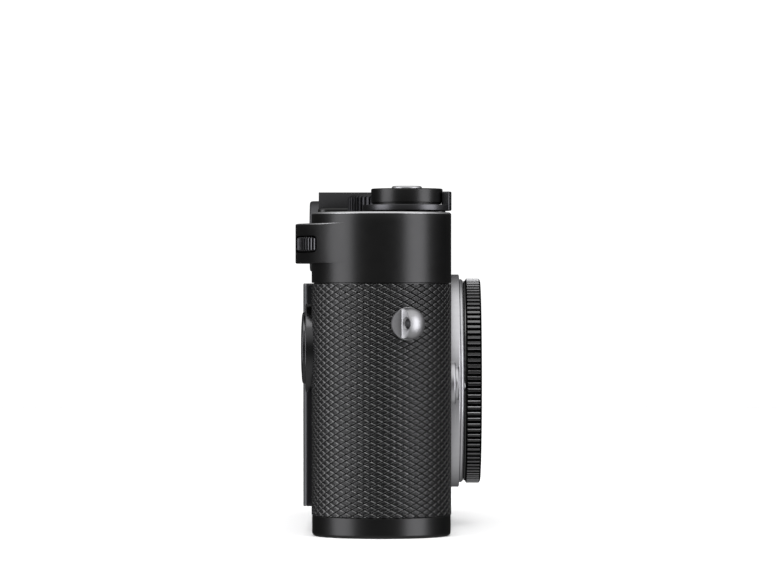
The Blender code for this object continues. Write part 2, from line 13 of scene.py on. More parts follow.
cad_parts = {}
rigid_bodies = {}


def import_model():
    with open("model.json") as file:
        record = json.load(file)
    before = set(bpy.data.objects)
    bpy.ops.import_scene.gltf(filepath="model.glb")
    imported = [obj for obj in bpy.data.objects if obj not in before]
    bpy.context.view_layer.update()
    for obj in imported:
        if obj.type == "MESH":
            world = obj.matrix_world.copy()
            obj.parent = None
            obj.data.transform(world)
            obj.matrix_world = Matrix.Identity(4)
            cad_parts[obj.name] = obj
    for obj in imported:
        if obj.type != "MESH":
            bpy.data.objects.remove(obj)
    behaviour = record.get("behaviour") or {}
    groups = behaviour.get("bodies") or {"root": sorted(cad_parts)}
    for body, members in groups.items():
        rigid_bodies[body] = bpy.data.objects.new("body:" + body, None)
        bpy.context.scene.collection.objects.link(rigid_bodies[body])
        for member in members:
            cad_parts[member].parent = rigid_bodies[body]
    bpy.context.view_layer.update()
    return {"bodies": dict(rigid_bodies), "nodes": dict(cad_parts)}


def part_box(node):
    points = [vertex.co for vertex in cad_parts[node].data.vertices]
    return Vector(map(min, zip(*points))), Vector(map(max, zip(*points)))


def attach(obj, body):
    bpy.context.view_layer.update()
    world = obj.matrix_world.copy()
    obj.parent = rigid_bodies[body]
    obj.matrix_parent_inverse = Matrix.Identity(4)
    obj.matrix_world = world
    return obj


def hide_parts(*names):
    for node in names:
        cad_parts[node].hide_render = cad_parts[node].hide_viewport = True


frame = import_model()
TAU = 2 * math.pi
QUARTER = math.pi / 2
WELD = 0.0004


def span(node):
    """Lowest and highest corner of a CAD node in millimetres, depth from the mid-plane."""
    low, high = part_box(node)
    shift = Vector((0.0, MID_Y, 0.0))
    return low * 1000 - shift, high * 1000 - shift


MID_Y = sum(corner.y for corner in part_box("body_casting")) * 500
SKIN = span("leather_covering")
COVER = span("top_plate")
BASE = span("base_plate")
MOUNT = span("mount_ring")
LENS_Z = (MOUNT[0].z + MOUNT[1].z) / 2
HALF_DEPTH = SKIN[1].y
END_X = SKIN[1].x - HALF_DEPTH            # centre of each round end
LENS_AXIS = (0.0, 0.0, LENS_Z)
LOCK_PIN = (-23.0, -0.7)                  # lens lock pin, from the lens axis
PIN_HOLE = 1.3


def middle(node):
    low, high = span(node)
    return (low + high) / 2


def half_size(node):
    low, high = span(node)
    return (high - low) / 2


def across(spot):
    """Where a part turned or cut along the depth axis is placed."""
    return spot.x, 0.0, spot.z


def upright(spot):
    """Where a part modelled at its real height is placed."""
    return spot.x, spot.y, 0.0


# ---- shape helpers

def arc(radius, start, end, steps, centre=(0.0, 0.0)):
    """Points on an arc, both ends included; angles in radians."""
    points = []
    for i in range(steps + 1):
        angle = start + (end - start) * i / steps
        points.append((centre[0] + radius * math.cos(angle),
                       centre[1] + radius * math.sin(angle)))
    return points


def circle(radius, steps=96, centre=(0.0, 0.0)):
    return arc(radius, 0.0, TAU, steps, centre)[:-1]


def tidy(shape):
    bmesh.ops.remove_doubles(shape, verts=shape.verts, dist=WELD)
    bmesh.ops.dissolve_degenerate(shape, edges=shape.edges, dist=WELD)
    bmesh.ops.recalc_face_normals(shape, faces=shape.faces)
    return shape


def bridge(shape, lower, upper):
    """Faces between two rings of points; a ring may be a single point."""
    count = max(len(lower), len(upper))
    for i in range(count):
        j = (i + 1) % count
        corners = [lower[i % len(lower)], lower[j % len(lower)],
                   upper[j % len(upper)], upper[i % len(upper)]]
        shape.faces.new(list(dict.fromkeys(corners)))


def stack(levels, closed=True):
    """Solid through plan outlines (outline, height), with end faces or joined into a tube.

    A point may bring its own height, and an outline may be a single point.
    """
    shape = bmesh.new()
    rings = [[shape.verts.new((*point, height)[:3]) for point in outline]
             for outline, height in levels]
    for lower, upper in zip(rings, rings[1:]):
        bridge(shape, lower, upper)
    if not closed:
        bridge(shape, rings[-1], rings[0])
    elif len(rings[0]) > 1:
        shape.faces.new(rings[0])
        shape.faces.new(rings[-1])
    return tidy(shape)


def prism(outline, low, high):
    return stack([(outline, low), (outline, high)])


def block(low, high):
    """Box between two corners."""
    outline = [(low[0], low[1]), (high[0], low[1]), (high[0], high[1]), (low[0], high[1])]
    return prism(outline, low[2], high[2])


def rounded_rectangle(half_x, half_y, radius, steps=8):
    """Outline of a rectangle about the origin with round corners."""
    points = []
    for turn, (sx, sy) in enumerate(((1, 1), (-1, 1), (-1, -1), (1, -1))):
        centre = (sx * (half_x - radius), sy * (half_y - radius))
        points += arc(radius, turn * QUARTER, (turn + 1) * QUARTER, steps, centre)
    return points


def rounded_levels(outline, height, edge, rise=1, steps=4):
    """Levels of a rounded edge; outline(inset) gives the plan at an inset."""
    levels = []
    for i in range(steps + 1):
        angle = QUARTER * i / steps
        levels.append((outline(edge * (1 - math.cos(angle))),
                       height + rise * edge * (math.sin(angle) - 1)))
    return levels


def soft_block(half_x, half_y, low, high, corner, edge):
    """Block with round upright corners and round top edges; height runs along Z."""
    def outline(inset):
        return rounded_rectangle(half_x - inset, half_y - inset, max(corner - inset, 0.02))
    return stack([(outline(0.0), low)] + rounded_levels(outline, high, edge))


def softened(profile, radius, skip):
    """Rounds the corners of a turned profile; skip names corners that stay sharp."""
    steps = 4
    result = []
    last = len(profile) - 1
    for i, here in enumerate(profile):
        if i in skip or here[0] == 0.0 or (profile[0][0] == 0.0 and i in (0, last)):
            result.append(here)
            continue
        point = Vector(here)
        before = Vector(profile[i - 1]) - point
        after = Vector(profile[(i + 1) % len(profile)]) - point
        reach = min(radius, before.length * 0.45, after.length * 0.45)
        start = point + before.normalized() * reach
        end = point + after.normalized() * reach
        for k in range(steps + 1):
            t = k / steps
            spot = start * (1 - t) ** 2 + point * 2 * t * (1 - t) + end * t ** 2
            result.append((spot.x, spot.y))
    return result


def turned(profile, steps=96, soft=0.0, skip=()):
    """Solid of revolution about Z through (radius, height) points, corners rounded by soft."""
    if soft:
        profile = softened(profile, soft, skip)
    levels = [(circle(radius, steps) if radius else [(0.0, 0.0)], height)
              for radius, height in profile]
    return stack(levels, closed=not profile[0][0])


def peg(radius, low, high, soft=0.0, steps=96, inner=0.0):
    """Turned disc or peg between two heights, or a tube where it has an inner radius."""
    return turned([(inner, low), (radius, low), (radius, high), (inner, high)], steps, soft)


def toothed_ring(radius, depth, teeth, land=0.5, bevel=0.0):
    """Outline of a ring of teeth: bevelled lands, sloping flanks and flat gaps."""
    flank, corner = 0.08, 0.07
    stops = [(0.0, bevel), (corner, 0.0), (land - corner, 0.0), (land, bevel),
             (land + flank, depth), (1.0 - flank, depth)]
    points = []
    for tooth in range(teeth):
        for share, drop in stops:
            angle = TAU * (tooth + share) / teeth
            points.append(((radius - drop) * math.cos(angle), (radius - drop) * math.sin(angle)))
    return points


def toothed_wheel(radius, low, high, depth, teeth, edge, inner=0.0, land=0.5):
    """Wheel with upright teeth that fade out into a bevel at both rims."""
    rim = toothed_ring(radius - edge, 0.0, teeth, land)
    full = toothed_ring(radius, depth, teeth, land, 0.06)
    levels = [(rim, low), (full, low + edge), (full, high - edge), (rim, high)]
    if inner:
        bore = toothed_ring(inner, 0.0, teeth, land)
        return stack(levels + [(bore, high), (bore, low)], closed=False)
    return stack(levels)


def moved(shape, x=0.0, y=0.0, z=0.0):
    bmesh.ops.translate(shape, verts=shape.verts, vec=Vector((x, y, z)))
    return shape


def transformed(shape, matrix):
    bmesh.ops.transform(shape, verts=shape.verts, matrix=matrix)
    bmesh.ops.recalc_face_normals(shape, faces=shape.faces)
    return shape


def forward(shape):
    """Turns local +Z to the front, -Y, and keeps local +Y up."""
    return transformed(shape, Matrix.Rotation(QUARTER, 4, "X"))


def backward(shape):
    """Turns local +Z to the rear, +Y; local +Y points down."""
    return transformed(shape, Matrix.Rotation(-QUARTER, 4, "X"))


def linked(name, data):
    """New object in the scene that shows the data."""
    item = bpy.data.objects.new(name, data)
    bpy.context.scene.collection.objects.link(item)
    return item


def as_object(shape, name):
    mesh = bpy.data.meshes.new(name)
    shape.to_mesh(mesh)
    shape.free()
    return linked(name, mesh)


def evaluated(item, extra=()):
    """The item's mesh with its modifiers, as a bmesh; the item and extras are removed."""
    result = bmesh.new()
    result.from_object(item, bpy.context.evaluated_depsgraph_get())
    for used in (item, *extra):
        mesh = used.data
        bpy.data.objects.remove(used)
        bpy.data.meshes.remove(mesh)
    return result


def boolean(shape, tool, operation):
    target = as_object(shape, "target")
    other = as_object(tool, "tool")
    modifier = target.modifiers.new("boolean", "BOOLEAN")
    modifier.operation = operation
    modifier.solver = "EXACT"
    modifier.object = other
    return evaluated(target, (other,))


def cut(shape, *tools):
    for tool in tools:
        shape = boolean(shape, tool, "DIFFERENCE")
    return shape


def fuse(shape, *tools):
    for tool in tools:
        shape = boolean(shape, tool, "UNION")
    return shape


def bevelled(shape, width, segments, angle=50.0):
    item = as_object(shape, "bevelled")
    modifier = item.modifiers.new("bevel", "BEVEL")
    modifier.width = width
    modifier.segments = segments
    modifier.limit_method = "ANGLE"
    modifier.angle_limit = math.radians(angle)
    return evaluated(item)


def place(name, shape, material, replaced=(), centre=(0.0, 0.0, 0.0),
          body=None, angle=32.0):
    """Turns a shape into a piece of the visual model.

    Where no body is given, it rides on the one named after the CAD node that it replaces,
    or else on the camera's.
    """
    bmesh.ops.remove_doubles(shape, verts=shape.verts, dist=WELD)
    offset = Vector((centre[0], centre[1] + MID_Y, centre[2]))
    bmesh.ops.translate(shape, verts=shape.verts, vec=offset)
    bmesh.ops.scale(shape, verts=shape.verts, vec=Vector((0.001, 0.001, 0.001)))
    item = as_object(shape, name)
    item.data.shade_smooth()
    item.data.set_sharp_from_angle(angle=math.radians(angle))
    item.data.materials.append(material)
    named = replaced and replaced[0] in frame["bodies"]
    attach(item, body or (replaced[0] if named else "camera_body"))
    if replaced:
        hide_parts(*replaced)
    return item


def refinish(item, materials, choose):
    """Adds materials to a piece; choose(face) says which one a face gets, 0 being the first."""
    for material in materials:
        item.data.materials.append(material)
    for face in item.data.polygons:
        face.material_index = choose(face)


# ---- materials

def add_node(tree, kind, **values):
    """New node; a value sets the property of that name, or else the input."""
    node = tree.nodes.new(kind)
    for key, value in values.items():
        if hasattr(node, key):
            setattr(node, key, value)
        else:
            node.inputs[key.replace("_", " ")].default_value = value
    return node


class Nodes:
    """A material's node tree with the few links that every finish needs."""

    def __init__(self, name, colour, roughness, metallic=0.0, **sockets):
        self.material = bpy.data.materials.new(name)
        self.material.use_nodes = True
        self.tree = self.material.node_tree
        self.shader = self.tree.nodes["Principled BSDF"]
        sockets.update(Base_Color=(*colour, 1.0), Roughness=roughness, Metallic=metallic)
        for socket, value in sockets.items():
            self.shader.inputs[socket.replace("_", " ")].default_value = value
        self.place = self.add("ShaderNodeTexCoord").outputs["Object"]

    def add(self, kind, **values):
        return add_node(self.tree, kind, **values)

    def link(self, out, into):
        self.tree.links.new(out, into)

    def stretched(self, scale):
        mapping = self.add("ShaderNodeMapping", Scale=scale)
        self.link(self.place, mapping.inputs["Vector"])
        return mapping.outputs["Vector"]

    def noise(self, scale, detail=3.0, vector=None):
        node = self.add("ShaderNodeTexNoise", Scale=scale, Detail=detail)
        self.link(vector or self.place, node.inputs["Vector"])
        return node.outputs["Fac"]

    def between(self, factor, low, high):
        node = self.add("ShaderNodeMapRange", To_Min=low, To_Max=high)
        self.link(factor, node.inputs["Value"])
        return node.outputs["Result"]

    def mix(self, factor, first, second):
        node = self.add("ShaderNodeMix", data_type="RGBA")
        node.inputs[6].default_value = (*first, 1.0)
        node.inputs[7].default_value = (*second, 1.0)
        self.link(factor, node.inputs[0])
        return node.outputs[2]

    def colour(self, out):
        self.link(out, self.shader.inputs["Base Color"])

    def rough(self, out):
        self.link(out, self.shader.inputs["Roughness"])

    def bump(self, height, strength, distance):
        node = self.add("ShaderNodeBump", Strength=strength, Distance=distance)
        self.link(height, node.inputs["Height"])
        self.link(node.outputs["Normal"], self.shader.inputs["Normal"])


def paint(name, colour, roughness, grain=2600.0, depth=0.000012, **sockets):
    """Sprayed enamel: a faint pebble and slightly uneven gloss."""
    n = Nodes(name, colour, roughness, **sockets)
    n.rough(n.between(n.noise(420.0), roughness - 0.03, roughness + 0.03))
    lighter = tuple(c * 1.25 for c in colour)
    n.colour(n.mix(n.noise(900.0, 4.0), colour, lighter))
    n.bump(n.noise(grain, 2.0), 0.35, depth)
    return n.material


def metal(name, colour, roughness, brush=(1.0, 1.0, 1.0), depth=0.000006):
    """Machined metal: fine lines drawn out along one direction."""
    n = Nodes(name, colour, roughness, 1.0)
    vector = n.stretched(brush)
    lines = n.noise(3500.0, 3.0, vector)
    n.rough(n.between(lines, roughness - 0.05, roughness + 0.06))
    darker = tuple(c * 0.86 for c in colour)
    n.colour(n.mix(n.noise(700.0, 4.0, vector), darker, colour))
    n.bump(lines, 0.3, depth)
    return n.material


def grained_leather(name, roughness, **sockets):
    """Embossed covering: pebbly grain on top of the modelled diamonds."""
    n = Nodes(name, (0.010, 0.010, 0.0105), roughness, **sockets)
    cells = n.add("ShaderNodeTexVoronoi", Scale=4200.0)
    n.link(n.place, cells.inputs["Vector"])
    specks = n.between(cells.outputs["Distance"], -0.2, 1.1)
    n.colour(n.mix(specks, grey(0.0004), grey(0.009, 0.0095)))
    n.rough(n.between(n.noise(1800.0), roughness - 0.06, roughness + 0.06))
    n.bump(cells.outputs["Distance"], 0.9, 0.00005)
    return n.material


def glass_like(name, colour, roughness=0.04, tint=1.4):
    """Dark coated glass with a faint bloom."""
    n = Nodes(name, colour, roughness, Coat_Weight=0.6, Coat_Roughness=0.03)
    bright = tuple(c * tint for c in colour)
    n.colour(n.mix(n.noise(120.0, 2.0), colour, bright))
    return n.material


def circuit_board(name):
    n = Nodes(name, (0.02, 0.12, 0.06), 0.45)
    bricks = n.add("ShaderNodeTexBrick", Scale=260.0)
    n.link(n.place, bricks.inputs["Vector"])
    n.colour(n.mix(bricks.outputs["Fac"], (0.015, 0.10, 0.05), (0.04, 0.22, 0.12)))
    n.bump(bricks.outputs["Fac"], 0.3, 0.00005)
    return n.material


def grey(level, blue=None):
    """Colour of one level, with a slightly different blue where one is given."""
    return level, level, level if blue is None else blue


BLACK_PAINT = paint("black_enamel", grey(0.0006), 0.33)
MATT_PAINT = paint("matt_black_paint", grey(0.014, 0.015), 0.6, grain=3800.0)
ANODISED = metal("black_anodised", grey(0.045, 0.048), 0.36, (1.0, 1.0, 0.2))
DARK_METAL = metal("dark_metal", grey(0.10, 0.105), 0.34, (0.2, 1.0, 1.0))
GUNMETAL = metal("gunmetal", grey(0.07, 0.072), 0.20, (1.0, 0.2, 1.0))
SILVER = metal("satin_chrome", grey(0.70, 0.72), 0.30, (1.0, 0.08, 1.0))
SATIN = metal("matt_chrome", grey(0.55, 0.56), 0.42, (1.0, 1.0, 0.3))
POLISHED = metal("polished_chrome", grey(0.74, 0.76), 0.20, (1.0, 1.0, 0.3), 0.000003)
STEEL = metal("brushed_steel", grey(0.50, 0.52), 0.34, (0.1, 1.0, 1.0))
# Bright metal for the up-facing bevels of the top plate: a painted highlight along its top edges.
EDGE_HIGHLIGHT = metal("painted_edge_highlight", grey(0.66, 0.67), 0.32)
BLADE = metal("blackened_blade", grey(0.05, 0.052), 0.42, (0.1, 1.0, 1.0))
BLASTED = metal("blasted_steel", grey(0.42, 0.43), 0.42)
CAST = metal("cast_alloy", grey(0.16, 0.165), 0.55, depth=0.00002)
GOLD = metal("gold_plate", (0.80, 0.56, 0.22), 0.25)
LEATHER = grained_leather("embossed_leather", 0.38, Specular_IOR_Level=0.34)
LEATHER_EDGE = grained_leather("pressed_edge", 0.24, IOR=2.05)
# Bright metal for the black plastic cap's tooth bevels: a painted highlight along the teeth.
CAP_HIGHLIGHT = metal("painted_cap_highlight", grey(0.42, 0.43), 0.35)
# Near-black and hardly reflecting: painted shade for the leather's grooves, the cap's tooth gaps
# and the display glass's rim.
PAINTED_SHADE = paint("painted_groove_shade", grey(0.0004), 0.7, Specular_IOR_Level=0.08)
CAP_PLASTIC = paint("moulded_plastic", grey(0.0008, 0.0009), 0.26, grain=4200.0, IOR=1.7)
BUTTON_PLASTIC = paint("button_plastic", grey(0.008, 0.0083), 0.38, grain=3600.0)
WINDOW = glass_like("coated_window", (0.010, 0.012, 0.022), 0.03, 2.0)
SCREEN = glass_like("display_cover", grey(0.006, 0.007), 0.03)
# Grey ground-glass edge for the display glass's sides; its lightness also serves as a painted
# highlight along the display's side.
GLASS_EDGE_AND_HIGHLIGHT = glass_like("ground_edge_and_highlight", (0.23, 0.235, 0.245), 0.35, 1.2)
SENSOR = glass_like("sensor_filter", (0.03, 0.05, 0.06), 0.05, 1.8)
LETTERING = paint("engraved_white", grey(0.62, 0.60), 0.55)
BOARD = circuit_board("circuit_board")


# ---- body plan

ARC_STEPS = 84
BUMP = (62.5, 71.65, 19.9)                # low, high and rear depth of the wheel housing
BUMP_TANGENT = math.radians(31.0)
BUMP_FLAT_X = -41.5
BUMP_FOOT_X = -37.2
BEHIND_WHEEL = -30.0                      # the housing fades out before this
STEP_X = -15.0
LOW_DECK = 74.2
FRONT_WALL = (12.0, 17.0)                 # depths between which a hole through it is cut
WHEEL_PILLAR = 10.0                       # solid round the wheel's pocket
WHEEL = middle("thumb_wheel")
TOWER = middle("release_tower")
DIAL = middle("speed_dial")
ISO = middle("iso_dial")
WINDOWS = (("viewfinder_glass", "viewfinder_window", 0.8),        # node, piece, corner radius
           ("rangefinder_glass", "rangefinder_window", 0.6))


def round_end(centre_x, start):
    """Samples round one end of the body, as (point, outward direction)."""
    samples = []
    for i in range(ARC_STEPS + 1):
        angle = start + math.pi * i / ARC_STEPS
        away = Vector((math.cos(angle), math.sin(angle)))
        samples.append((Vector((centre_x, 0.0)) + away * HALF_DEPTH, away))
    return samples


def plan_samples():
    """Samples all round the body plan, with more of them behind the wheel."""
    samples = round_end(END_X, -QUARTER)
    x = BEHIND_WHEEL
    while x > -END_X + 0.5:
        samples.append((Vector((x, HALF_DEPTH)), Vector((0.0, 1.0))))
        x -= 0.8
    return samples + round_end(-END_X, QUARTER)


SAMPLES = plan_samples()


def bump_reach(point, away):
    """How far the wheel housing stands out from the plan at a sample."""
    rise = BUMP[2] - HALF_DEPTH * math.sin(BUMP_TANGENT)
    radius = rise / (1.0 - math.sin(BUMP_TANGENT))
    shift = radius - HALF_DEPTH
    centre = Vector((-END_X + shift * math.cos(BUMP_TANGENT), -shift * math.sin(BUMP_TANGENT)))
    if point.x > BUMP_FOOT_X or point.y < HALF_DEPTH * math.sin(BUMP_TANGENT):
        return 0.0
    if point.x > BUMP_FLAT_X:
        share = (BUMP_FOOT_X - point.x) / (BUMP_FOOT_X - BUMP_FLAT_X)
        return (BUMP[2] - HALF_DEPTH) * (3 - 2 * share) * share ** 2
    if point.x > centre.x:
        return BUMP[2] - HALF_DEPTH
    to_centre = centre - point
    along = to_centre.dot(away)
    off = to_centre.length_squared - along ** 2
    return max(0.0, along + math.sqrt(radius ** 2 - off))


REACH = [bump_reach(point, away) for point, away in SAMPLES]


def plan(inset=0.0):
    """The body plan moved inwards."""
    return [tuple(point - away * inset) for point, away in SAMPLES]


def housing_levels(low, high, edge):
    """Levels of the wheel housing, with bevels that die away where it meets the body."""
    levels = []
    for base, side in ((low, 1), (high, -1)):
        rows = []
        for inset, rise in ((1.0, 0.0), (0.3, 0.3), (0.0, 1.0)):
            outline = []
            for (point, away), reach in zip(SAMPLES, REACH):
                bevel = min(edge, reach * 0.6)
                spot = point + away * (reach - bevel * inset)
                outline.append((spot.x, spot.y, base + side * bevel * rise))
            rows.append((outline, base))
        levels += rows if side > 0 else rows[::-1]
    return levels


def chamfer_levels(outline, height, edge, soft=0.12):
    """Levels of a chamfer with slightly softened corners, ending at a height."""
    return [(outline(), height - edge - soft), (outline(soft * 0.3), height - edge),
            (outline(edge - soft * 0.1), height - soft * 0.3), (outline(edge + soft), height)]


# ---- body pieces

def top_cover():
    """Top plate with its housing, raised deck, windows and the seats of its controls."""
    low, high, _ = BUMP
    edge = 0.28                                     # bevel of the wheel housing
    levels = [(plan(0.55), SKIN[1].z - 0.4), (plan(0.55), COVER[0].z), (plan(0.1), COVER[0].z),
              (plan(), COVER[0].z + 0.1), (plan(), low)]
    levels += housing_levels(low, high, edge) + [(plan(), high)]
    levels += chamfer_levels(plan, LOW_DECK, 0.3)
    shape = stack(levels)
    shape = fuse(shape, raised_deck())
    wall = 1.3
    hollow = prism(plan(wall), SKIN[1].z - 1.0, LOW_DECK - wall)
    pillar = prism(circle(WHEEL_PILLAR, 48, (WHEEL.x, WHEEL.y)), COVER[0].z - 2.0, LOW_DECK)
    pocket = peg(8.75, 64.95, 68.85, 0.9)
    shafts = [prism(circle(radius, 24, (spot.x, spot.y)), bottom, bottom + 8.0)
              for spot, radius, bottom in ((WHEEL, 1.35, 63.0), (TOWER, 1.5, 70.0),
                                           (DIAL, 2.2, 70.0), (ISO, 2.2, 70.0))]
    shoe_seat = block((-10.9, -4.3, 75.3), (10.9, 17.0, 78.0))
    mount_seat = moved(forward(prism(circle(MOUNT[1].x + 0.3, 128), 15.1, 17.0)), z=LENS_Z)
    shape = cut(shape, cut(hollow, pillar), moved(pocket, *upright(WHEEL)), *shafts,
                shoe_seat, mount_seat)
    for node, _, corner in WINDOWS:
        half = half_size(node)
        outline = rounded_rectangle(half.x + 0.15, half.z + 0.15, corner + 0.1)
        shape = cut(shape, moved(forward(prism(outline, *FRONT_WALL)), *across(middle(node))))
    sensor = across(middle("light_sensor_glass"))
    barrel = across(middle("eyepiece_ring"))
    shape = cut(shape, moved(forward(prism(circle(2.2, 48), *FRONT_WALL)), *sensor),
                moved(backward(prism(circle(9.4, 96), 11.7, 20.0)), *barrel))
    cover = place("top_cover", shape, BLACK_PAINT, ["top_plate"])

    # The up-facing bevels of the low deck and the housing's top edge get the painted highlight.
    def highlighted_bevel(face):
        tall = face.center.z * 1000
        on_edge = LOW_DECK - 0.45 < tall < LOW_DECK or high - edge < tall < high
        return int(on_edge and 0.25 < face.normal.z < 0.97)
    refinish(cover, [EDGE_HIGHLIGHT], highlighted_bevel)


def raised_deck():
    """The higher deck on the viewfinder side, with a rounded step."""
    def outline(inset):
        radius = HALF_DEPTH - 0.8 - inset
        edge = STEP_X + inset
        corner = 2.5
        points = arc(radius, -QUARTER, QUARTER, 84, (END_X, 0.0))
        points += arc(corner, QUARTER, math.pi, 10, (edge + corner, radius - corner))
        points += arc(corner, math.pi, math.pi * 1.5, 10, (edge + corner, corner - radius))
        return points
    top = COVER[1].z
    levels = [(outline(0.0), LOW_DECK - 0.8)] + rounded_levels(outline, top, 0.45)
    return stack(levels)


BASE_HOLE = 7.3


def base_cover():
    """Bottom plate with a rounded lower edge."""
    levels = [(plan(1.2), 1.3), (plan(1.2), BASE[1].z), (plan(0.3), BASE[1].z),
              (plan(0.12), BASE[1].z - 0.25)]
    lower = rounded_levels(lambda inset: plan(0.12 + inset), 0.0, 0.9, rise=-1, steps=6)
    shape = stack(levels + lower)
    for node in ("tripod_socket", "lock_knob"):
        hole = turned([(0.0, -1.0), (BASE_HOLE + 0.3, -1.0), (BASE_HOLE + 0.3, 0.0),
                       (BASE_HOLE, 0.25), (BASE_HOLE, 3.0), (0.0, 3.0)])
        shape = cut(shape, moved(hole, *upright(middle(node))))
    place("base_cover", shape, BLACK_PAINT, ["base_plate"])


DIAMOND_WIDTH = 3.05
DIAMOND_HEIGHT = 1.47
RELIEF = 0.22
REAR_STOPS = (36.2, 48.2)                 # where it ends on the rear: pad's side, far side
SKIRT = 0.45                              # depth of the covering's cut edge


def skin_point(along, height, lift):
    """A point of the covering: distance along its outline, height, and lift off its base."""
    radius = HALF_DEPTH - RELIEF + lift
    side = 1 if along > END_X else -1
    beyond = abs(along - END_X) - END_X             # past the straight front
    past = beyond - math.pi * HALF_DEPTH            # past the round end
    if beyond <= 0.0:
        return Vector((along - END_X, -radius, height))
    if past >= 0.0:
        return Vector((side * (END_X - past), radius, height))
    angle = side * beyond / HALF_DEPTH - QUARTER
    return Vector((side * END_X + radius * math.cos(angle), radius * math.sin(angle), height))


# Cross-section of a diamond from groove to groove: (share of the width, share of the height).
# The slope that faces up is the wider one.
DIAMOND_SECTION = ((0.0, 0.0), (0.03, 0.02), (0.05, 0.30), (0.08, 0.85), (0.12, 1.0),
                   (0.74, 1.0), (0.80, 0.80), (0.93, 0.20), (0.97, 0.02))


def covering():
    """Embossed leather: a lattice of raised diamonds, cut to the body's outline."""
    half_arc = math.pi * HALF_DEPTH
    start = -half_arc - (END_X - REAR_STOPS[0])
    end = 2 * END_X + half_arc + (END_X - REAR_STOPS[1])
    low, high = BASE[1].z + 0.04, SKIN[1].z
    stops = [share for share, _ in DIAMOND_SECTION]
    shape = bmesh.new()
    grid = {}

    def vertex(u, v):
        key = (u, v)
        if key not in grid:
            cell_u, part_u = divmod(u, len(stops))
            cell_v, part_v = divmod(v, len(stops))
            real_u = cell_u + stops[part_u]
            real_v = cell_v + stops[part_v]
            lift = RELIEF * min(DIAMOND_SECTION[part_u][1], DIAMOND_SECTION[part_v][1])
            grid[key] = shape.verts.new(((real_u + real_v) / 2 * DIAMOND_WIDTH,
                                         (real_u - real_v) / 2 * DIAMOND_HEIGHT, lift))
        return grid[key]

    margin = 2
    u_low = math.floor(start / DIAMOND_WIDTH + low / DIAMOND_HEIGHT) - margin
    u_high = math.ceil(end / DIAMOND_WIDTH + high / DIAMOND_HEIGHT) + margin
    v_low = math.floor(start / DIAMOND_WIDTH - high / DIAMOND_HEIGHT) - margin
    v_high = math.ceil(end / DIAMOND_WIDTH - low / DIAMOND_HEIGHT) + margin
    for cell_u in range(u_low, u_high):
        for cell_v in range(v_low, v_high):
            along = (cell_u + cell_v + 1) / 2 * DIAMOND_WIDTH
            height = (cell_u - cell_v) / 2 * DIAMOND_HEIGHT
            if not (start - 2 < along < end + 2 and low - 2 < height < high + 2):
                continue
            for i in range(len(stops)):
                for j in range(len(stops)):
                    u = cell_u * len(stops) + i
                    v = cell_v * len(stops) + j
                    shape.faces.new((vertex(u, v), vertex(u + 1, v),
                                     vertex(u + 1, v + 1), vertex(u, v + 1)))
    for point, direction in (((start, 0, 0), (-1, 0, 0)), ((end, 0, 0), (1, 0, 0)),
                             ((0, low, 0), (0, -1, 0)), ((0, high, 0), (0, 1, 0))):
        everything = shape.verts[:] + shape.edges[:] + shape.faces[:]
        bmesh.ops.bisect_plane(shape, geom=everything, plane_co=point, plane_no=direction,
                               clear_outer=True, dist=0.0001)
    for corner in shape.verts:
        corner.co = skin_point(corner.co.x, corner.co.y, corner.co.z)
    clear_under_fittings(shape)
    rim = [edge for edge in shape.edges if len(edge.link_faces) == 1]
    skirt = bmesh.ops.extrude_edge_only(shape, edges=rim)["geom"]
    for item in skirt:
        if isinstance(item, bmesh.types.BMVert):
            centre_x = max(-END_X, min(END_X, item.co.x))
            inward = Vector((item.co.x - centre_x, item.co.y, 0.0)).normalized()
            item.co -= inward * SKIRT
    bmesh.ops.recalc_face_normals(shape, faces=shape.faces)
    item = place("leather", shape, LEATHER, ["leather_covering"], angle=50.0)

    # Faces down in the grooves get the painted shade; steep slopes get the glossier edge leather.
    def groove_shade_and_slopes(face):
        spot = face.center * 1000 - Vector((0.0, MID_Y, 0.0))
        out = Vector((spot.x - max(-END_X, min(END_X, spot.x)), spot.y, 0.0))
        if out.length < HALF_DEPTH - RELIEF * 0.8:
            return 2
        return int(abs(face.normal.z) > 0.2)
    refinish(item, [LEATHER_EDGE, PAINTED_SHADE], groove_shade_and_slopes)


def clear_under_fittings(shape):
    """Takes the covering away under the mount, release guard, pad and lugs."""
    pad = middle("dpad_bezel")
    guard = middle("release_guard")
    rounds = [(0.0, LENS_Z, MOUNT[1].x - 0.5, -1), (guard.x, guard.z, 4.75, -1),
              (pad.x, pad.z, 9.7, 1)]
    feet = [lug_matrix(side).translation for side in (-1, 1)]
    doomed = []
    for face in shape.faces:
        spot = face.calc_center_median()
        covered = any(spot.y * side > 0 and math.hypot(spot.x - x, spot.z - z) < radius
                      for x, z, radius, side in rounds)
        if covered or any((spot - foot).length < 3.1 for foot in feet):
            doomed.append(face)
    bmesh.ops.delete(shape, geom=doomed, context="FACES")


# ---- strap lugs

LUG_ANGLE = math.radians(21.5)
LUG_Z = middle("strap_lug_right").z + 0.25


def lug_matrix(side):
    out = Vector((side * math.cos(LUG_ANGLE), -math.sin(LUG_ANGLE), 0.0))
    ahead = Vector((-side * math.sin(LUG_ANGLE), -math.cos(LUG_ANGLE), 0.0))
    matrix = Matrix((ahead, out.cross(ahead), out)).transposed().to_4x4()
    matrix.translation = Vector((side * END_X, 0.0, LUG_Z)) + out * HALF_DEPTH
    return matrix


